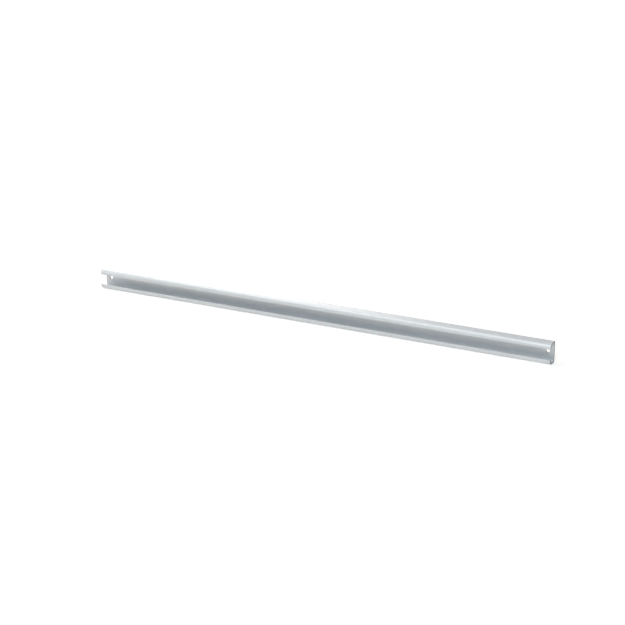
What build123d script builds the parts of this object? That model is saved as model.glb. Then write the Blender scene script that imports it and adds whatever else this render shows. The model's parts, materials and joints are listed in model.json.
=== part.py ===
# Mounting profile rail: one length of cold-rolled C profile with a fixing hole near each end.
# Millimetres. The rail stands as it hangs on a wall: +X runs along it, -Y is the open slot side,
# +Y is the back of the web and +Z is up. The origin is the centre of its footprint.
# The flanges lean towards each other, so the slot side is narrower than the web side.

import os
from math import radians, tan

from build123d import *

# Section of the rail
rail_height = 35.0  # overall, across the two bends at the web
rail_depth = 18.5  # from the front of the lips to the back of the web
flange_lean = 5.5  # degrees that each flange leans in towards the slot
sheet_thickness = 1.8
slot_width = 17.0  # clear gap between the lips
front_bend_radius = 4.5  # outside of the bend from a flange to its lip
back_bend_radius = 3.0  # outside of the bend from a flange to the web
lip_edge_round = 0.35  # rolled edge of the strip, at the free edge of each lip

# Length and fixing holes
rail_length = 805.0
hole_diameter = 6.4
hole_end_distance = 10.0  # from the cut end to the hole's centre
hole_edge_break = 0.15  # on both faces of the web
cut_edge_break = 0.15  # round the outline of each cut end

front_y = -rail_depth / 2
back_y = rail_depth / 2
middle_z = rail_height / 2

# The flange and web faces, run on to where they meet, stand a little past the bend between them
bend_setback = back_bend_radius * (tan(radians(45 + flange_lean / 2)) - 1)
back_half = rail_height / 2 + bend_setback
front_half = back_half - rail_depth * tan(radians(flange_lean))

with BuildPart() as profile_rail:
    # The section is a rounded trapezium, hollowed to one sheet thickness and opened by the slot
    with BuildSketch(Plane.YZ) as section:
        with BuildLine():
            Polyline(
                (front_y, middle_z - front_half),
                (back_y, middle_z - back_half),
                (back_y, middle_z + back_half),
                (front_y, middle_z + front_half),
                close=True,
            )
        make_face()
        fillet(section.vertices().group_by(Axis.X)[0], front_bend_radius)
        fillet(section.vertices().group_by(Axis.X)[-1], back_bend_radius)
        offset(amount=-sheet_thickness, mode=Mode.SUBTRACT)
        with Locations((front_y, middle_z)):
            Rectangle(2 * sheet_thickness, slot_width, mode=Mode.SUBTRACT)
        lip_corners = section.vertices().filter_by(
            lambda corner: abs(abs(corner.Y - middle_z) - slot_width / 2) < 1e-6
        )
        fillet(lip_corners, lip_edge_round)
    extrude(amount=rail_length / 2, both=True)
    cut_outlines = profile_rail.faces().filter_by(Axis.X).edges()
    chamfer(cut_outlines, cut_edge_break)

    # Both holes are punched through the web from its back
    with Locations(Plane((0, back_y, middle_z), x_dir=(1, 0, 0), z_dir=(0, 1, 0))):
        with GridLocations(rail_length - 2 * hole_end_distance, 0, 2, 1):
            Hole(hole_diameter / 2, depth=sheet_thickness)
    hole_edges = profile_rail.edges(Select.LAST).filter_by(GeomType.CIRCLE)
    chamfer(hole_edges, hole_edge_break)

profile_rail.part.label = "profile_rail"

os.makedirs("parts", exist_ok=True)
export_step(profile_rail.part, "parts/profile_rail.step")
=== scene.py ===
import json
from math import cos, radians, sin

import bpy
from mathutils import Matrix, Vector


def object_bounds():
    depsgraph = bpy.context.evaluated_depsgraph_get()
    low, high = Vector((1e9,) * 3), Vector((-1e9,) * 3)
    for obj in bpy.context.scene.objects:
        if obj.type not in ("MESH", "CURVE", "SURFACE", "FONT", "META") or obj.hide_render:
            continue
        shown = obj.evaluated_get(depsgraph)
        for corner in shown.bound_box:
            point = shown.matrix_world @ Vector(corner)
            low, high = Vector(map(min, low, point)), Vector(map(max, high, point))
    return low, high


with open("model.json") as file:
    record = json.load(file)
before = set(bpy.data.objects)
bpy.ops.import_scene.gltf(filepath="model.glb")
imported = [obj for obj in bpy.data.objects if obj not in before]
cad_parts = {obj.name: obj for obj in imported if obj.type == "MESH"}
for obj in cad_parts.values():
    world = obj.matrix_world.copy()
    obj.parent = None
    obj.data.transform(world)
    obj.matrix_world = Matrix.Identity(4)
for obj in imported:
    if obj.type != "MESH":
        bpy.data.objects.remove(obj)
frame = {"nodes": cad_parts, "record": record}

# A length of zinc-coated profile rail on a white studio floor.
# Metres. +X runs along the rail, -Y is its open slot side and +Z is up.

cadBox = [list(corner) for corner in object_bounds()]
scene = bpy.context.scene
scene.view_settings.view_transform = "Standard"

rail = frame["nodes"]["profile_rail"]
holePattern = next(m for m in frame["record"]["mounts"] if m["name"] == "fixing_holes")
millimetre = 0.001  # the record gives a hole's sizes in millimetres


# Short ways to write shader nodes

def addNode(tree, kind, **settings):
    node = tree.nodes.new(kind)
    for name, value in settings.items():
        setattr(node, name, value)
    return node


def feed(tree, socket, value):  # a value may be another node's output or a plain number
    if isinstance(value, bpy.types.NodeSocket):
        tree.links.new(value, socket)
    else:
        socket.default_value = value


def calc(tree, operation, first, second=0.0):
    node = addNode(tree, "ShaderNodeMath", operation=operation)
    feed(tree, node.inputs[0], first)
    feed(tree, node.inputs[1], second)
    return node.outputs[0]


def distance(tree, across, along):  # how far off a point is, from its two offsets
    squares = [calc(tree, "MULTIPLY", side, side) for side in (across, along)]
    return calc(tree, "SQRT", calc(tree, "ADD", *squares))


def ramp(tree, value, zeroAt, oneAt):  # smooth step from 0 to 1, up or down
    node = addNode(tree, "ShaderNodeMapRange", interpolation_type="SMOOTHSTEP")
    for socket, number in zip(node.inputs[:3], (value, zeroAt, oneAt)):
        feed(tree, socket, number)
    return node.outputs[0]


def blendColour(tree, share, first, second):
    node = addNode(tree, "ShaderNodeMix", data_type="RGBA")
    feed(tree, node.inputs[0], share)
    feed(tree, node.inputs[6], first)  # inputs 6 and 7 and output 2 are the node's colours
    feed(tree, node.inputs[7], second)
    return node.outputs[2]


def stretchedNoise(tree, place, scale, detail=3.0):  # noise with its own scale along each axis
    mapping = addNode(tree, "ShaderNodeMapping")
    mapping.inputs["Scale"].default_value = scale
    tree.links.new(place, mapping.inputs["Vector"])
    noise = addNode(tree, "ShaderNodeTexNoise")
    noise.inputs["Scale"].default_value = 1.0  # the mapping has scaled it already
    noise.inputs["Detail"].default_value = detail
    tree.links.new(mapping.outputs[0], noise.inputs["Vector"])
    return noise.outputs["Fac"]


# Steel sheet with a thin zinc coat, sheared to length and punched

zincCoat = {
    "pale": (0.568, 0.600, 0.625, 1.0),
    "dull": (0.539, 0.570, 0.594, 1.0),
    "metallic": 0.38,
    "roughness": 0.33,
    "roughnessSpread": 0.06,
    "clouds": (60.0, 140.0, 140.0),  # soft mottling of the zinc, a few millimetres across
    "cloudRange": (0.3, 0.7),  # the noise that shows as all dull and as all pale
    "rollLines": (7.0, 2600.0, 2600.0),  # hair-fine lines left by the rolls, along the rail
    "lineDetail": 4.0,
    "lineHeight": 0.000004,  # metres
    "lineStrength": 0.6,
}
cutSteel = {
    "colour": (0.150, 0.156, 0.165, 1.0),
    "dark": (0.110, 0.115, 0.122, 1.0),
    # painted shade: the punched hole walls are coloured near black, darker than the bare cut ends, to
    # stand in for the shade inside the holes
    "holeWallShade": (0.030, 0.032, 0.035, 1.0),
    "roughness": 0.5,
    "shearMarks": (900.0, 1400.0, 1400.0),
    "markRange": (0.35, 0.65),
    "depth": 0.00012,  # metres that the bare edge reaches in from a cut, before it fades
}


def cutMasks(tree, place):  # 1 on the sheared ends, and 1 in the punched holes
    axes = addNode(tree, "ShaderNodeSeparateXYZ")
    tree.links.new(place, axes.inputs[0])
    x, _, z = axes.outputs
    fromMiddle = calc(tree, "ABSOLUTE", x)
    depth = cutSteel["depth"]
    halfLength = cadBox[1][0]
    ends = ramp(tree, fromMiddle, halfLength - 2 * depth, halfLength - depth)

    holeRadius = holePattern["dims"]["hole_r_mm"] * millimetre
    holePlace = holePattern["dims"]["spacing_x_mm"] / 2 * millimetre
    across = calc(tree, "SUBTRACT", fromMiddle, holePlace)
    above = calc(tree, "SUBTRACT", z, holePattern["pos_m"][2])
    holes = ramp(tree, distance(tree, across, above), holeRadius + depth, holeRadius + depth / 2)
    return ends, holes


def makeZincCoat():
    material = bpy.data.materials.new("zincCoatedSteel")
    material.use_nodes = True
    tree = material.node_tree
    shader = tree.nodes["Principled BSDF"]
    place = addNode(tree, "ShaderNodeTexCoord").outputs["Object"]

    clouds = stretchedNoise(tree, place, zincCoat["clouds"])
    lines = stretchedNoise(tree, place, zincCoat["rollLines"], zincCoat["lineDetail"])
    marks = stretchedNoise(tree, place, cutSteel["shearMarks"])
    paleShare = ramp(tree, clouds, *zincCoat["cloudRange"])
    coat = blendColour(tree, paleShare, zincCoat["dull"], zincCoat["pale"])
    brightShare = ramp(tree, marks, *cutSteel["markRange"])
    bare = blendColour(tree, brightShare, cutSteel["dark"], cutSteel["colour"])
    ends, holes = cutMasks(tree, place)
    endedCoat = blendColour(tree, ends, coat, bare)
    # the hole walls take the painted shade colour, the sheared ends the bare steel
    tree.links.new(blendColour(tree, holes, endedCoat, cutSteel["holeWallShade"]), shader.inputs["Base Color"])
    isCut = calc(tree, "MAXIMUM", ends, holes)

    spread = zincCoat["roughnessSpread"]
    mottled = calc(tree, "MULTIPLY", calc(tree, "ADD", clouds, lines), spread)
    coatRoughness = calc(tree, "ADD", mottled, zincCoat["roughness"] - spread)
    offset = calc(tree, "SUBTRACT", cutSteel["roughness"], coatRoughness)
    roughness = calc(tree, "ADD", coatRoughness, calc(tree, "MULTIPLY", offset, isCut))
    tree.links.new(roughness, shader.inputs["Roughness"])

    bump = addNode(tree, "ShaderNodeBump")
    bump.inputs["Strength"].default_value = zincCoat["lineStrength"]
    bump.inputs["Distance"].default_value = zincCoat["lineHeight"]
    tree.links.new(lines, bump.inputs["Height"])
    tree.links.new(bump.outputs[0], shader.inputs["Normal"])
    shader.inputs["Metallic"].default_value = zincCoat["metallic"]
    return material


def dressRail():
    rail.data.materials.clear()
    rail.data.materials.append(makeZincCoat())
    print("rail: zinc coat and bare cut edges")


# White studio

white = (1.0, 1.0, 1.0, 1.0)
studio = {
    "floorSize": 12.0,
    "floorColour": (0.86, 0.80, 0.72, 1.0),  # a little warm, for the light that it throws up at the rail
    "floorRoughness": 0.9,
    "floorShine": 0.0,
    "glowBeside": (0.485, 0.510, 0.548, 1.0),  # added to the floor in view; dimmer beside the rail as painted shade, and blue enough for a grey shadow
    "glowAway": white,  # the same past the shadow
    "glowReach": (0.05, 0.6),  # metres from the rail between which it goes from the one to the other
    "skyLight": 0.02,  # what the white surroundings add to the light on things
}
lamps = [
    {"name": "highFrontPanel", "at": (0.5, -1.5, 1.4), "aim": (0.0, 0.0, 0.0), "size": (1.6, 0.9),
     "power": 11.35, "colour": (0.885, 0.955, 1.0)},
    {"name": "frontPanel", "at": (0.5, -1.9, 0.9), "aim": (0.0, 0.0, 0.0), "size": (1.6, 0.9),
     "power": 13.05, "colour": (0.885, 0.952, 1.0)},
    {"name": "rightPanel", "at": (1.2, -0.7, 0.5), "aim": (0.4, 0.0, 0.0), "size": (0.6, 0.6),
     "power": 5.0, "colour": (1.0, 0.988, 0.972)},
    {"name": "leftPanel", "at": (-1.9, -0.5, 0.5), "aim": (-0.3, 0.0, 0.0), "size": (1.0, 1.0),
     "power": 18.4, "colour": (1.0, 0.99, 0.978)},
    {"name": "overLeftPanel", "at": (-0.65, -0.15, 1.3), "aim": (-0.05, 0.0, 0.0), "size": (1.1, 0.75),
     "power": 6.7, "colour": (1.0, 0.948, 0.9)},
    {"name": "farBackLeftPanel", "at": (-2.7, 2.7, 1.7), "aim": (-0.1, 0.0, 0.0), "size": (2.6, 2.0),
     "power": 38.8, "colour": (1.0, 0.943, 0.894)},
]


def seenShare(tree):  # 1 for camera, mirror-like and see-through rays, 0 for rays that only carry light
    rays = addNode(tree, "ShaderNodeLightPath")
    seen = calc(tree, "MAXIMUM", rays.outputs["Is Camera Ray"], rays.outputs["Is Glossy Ray"])
    return calc(tree, "MAXIMUM", seen, rays.outputs["Is Transmission Ray"])


def glowByPlace(tree):  # less glow beside the rail, a painted shade around it, so that the lamps' shadow stays
    axes = addNode(tree, "ShaderNodeSeparateXYZ")
    tree.links.new(addNode(tree, "ShaderNodeTexCoord").outputs["Object"], axes.inputs[0])
    fromMiddle = calc(tree, "ABSOLUTE", axes.outputs[0])
    pastEnd = calc(tree, "MAXIMUM", calc(tree, "SUBTRACT", fromMiddle, cadBox[1][0]), 0.0)
    away = ramp(tree, distance(tree, pastEnd, axes.outputs[1]), *studio["glowReach"])
    return blendColour(tree, away, studio["glowBeside"], studio["glowAway"])


def makeFloor():
    bpy.ops.object.select_all(action="DESELECT")
    bpy.ops.mesh.primitive_plane_add(size=studio["floorSize"], location=(0, 0, 0))
    floor = bpy.context.object
    floor.name = "studioFloor"
    material = bpy.data.materials.new("studioWhite")
    material.use_nodes = True
    tree = material.node_tree
    shader = tree.nodes["Principled BSDF"]
    shader.inputs["Base Color"].default_value = studio["floorColour"]
    shader.inputs["Roughness"].default_value = studio["floorRoughness"]
    shader.inputs["Specular IOR Level"].default_value = studio["floorShine"]
    tree.links.new(glowByPlace(tree), shader.inputs["Emission Color"])
    tree.links.new(seenShare(tree), shader.inputs["Emission Strength"])
    floor.data.materials.append(material)


def makeSurroundings():
    world = bpy.data.worlds.new("whiteRoom")
    scene.world = world
    world.use_nodes = True
    tree = world.node_tree
    background = tree.nodes["Background"]
    background.inputs["Color"].default_value = white
    strength = calc(tree, "ADD", studio["skyLight"],
                    calc(tree, "MULTIPLY", seenShare(tree), 1.0 - studio["skyLight"]))
    tree.links.new(strength, background.inputs["Strength"])


def makeLamps():
    for lamp in lamps:
        data = bpy.data.lights.new(lamp["name"], "AREA")
        data.shape = "RECTANGLE"
        data.size, data.size_y = lamp["size"]
        data.energy = lamp["power"]
        data.color = lamp["colour"]
        holder = bpy.data.objects.new(lamp["name"], data)
        holder.location = lamp["at"]
        away = Vector(lamp["aim"]) - Vector(lamp["at"])
        holder.rotation_euler = away.to_track_quat("-Z", "Y").to_euler()
        scene.collection.objects.link(holder)
    print("studio: white floor and surroundings,", len(lamps), "lamps")


# The photograph's view

view = {
    "azimuth": 27.46,  # degrees to the right of square-on to the slot
    "elevation": 18.93,
    "distance": 2.754,  # metres from the rail's middle
    "focalPixels": 1721.5,  # focal length, in pixels of the frame
    "frameWidth": 625,
    "railCentre": (314.11, 313.06),  # where the middle of the rail stands in the frame
    "sensor": 36.0,  # millimetres
}


def makeCamera():
    turn, tilt = radians(view["azimuth"]), radians(view["elevation"])
    back = Vector((sin(turn) * cos(tilt), -cos(turn) * cos(tilt), sin(tilt)))
    right = Vector((cos(turn), sin(turn), 0.0))
    up = back.cross(right)
    middle = (Vector(cadBox[0]) + Vector(cadBox[1])) / 2
    half = view["frameWidth"] / 2
    metresPerPixel = view["distance"] / view["focalPixels"]
    aside = (view["railCentre"][0] - half) * metresPerPixel
    below = (view["railCentre"][1] - half) * metresPerPixel
    data = bpy.data.cameras.new("photoCamera")
    data.sensor_width = view["sensor"]
    data.lens = view["focalPixels"] / view["frameWidth"] * view["sensor"]
    camera = bpy.data.objects.new("photoCamera", data)
    camera.location = middle + back * view["distance"] - right * aside + up * below
    camera.rotation_euler = back.to_track_quat("Z", "Y").to_euler()
    scene.collection.objects.link(camera)
    scene.camera = camera
    print("camera:", round(data.lens, 1), "mm lens")


dressRail()
makeFloor()
makeSurroundings()
makeLamps()
makeCamera()
